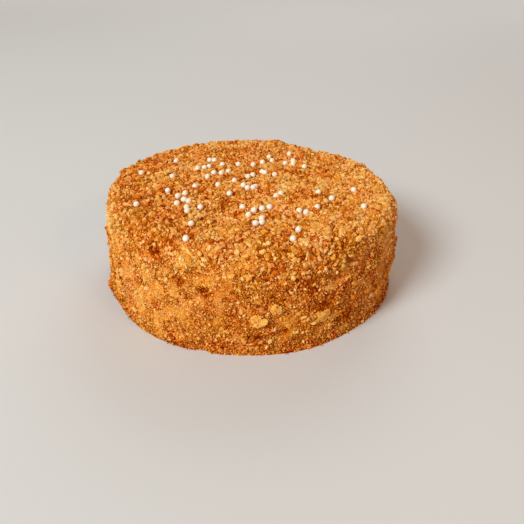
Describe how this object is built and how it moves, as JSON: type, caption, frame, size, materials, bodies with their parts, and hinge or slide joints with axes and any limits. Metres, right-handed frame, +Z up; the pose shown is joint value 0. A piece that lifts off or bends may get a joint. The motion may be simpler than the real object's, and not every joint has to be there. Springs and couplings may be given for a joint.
{
  "type": "medovik honey cake",
  "caption": "Whole round honey layer cake, uncut, coated all over in golden-brown biscuit crumbs, with small white sugar pearls scattered on its flat top.",
  "frame": {"origin": "centre of the cake's base, on the surface that it stands on", "axes": "+Z up; the front of the cake faces -Y and +X is to the right of it"},
  "size_m": [0.2157, 0.2176, 0.0764],
  "materials": {
    "crumb_coat": "dry golden-brown honey biscuit crumbs pressed over cream, matt and craggy, with glossy white sugar pearls on top"
  },
  "bodies": {
    "root": {"cake": "crumb_coat"}
  },
  "joints": []
}
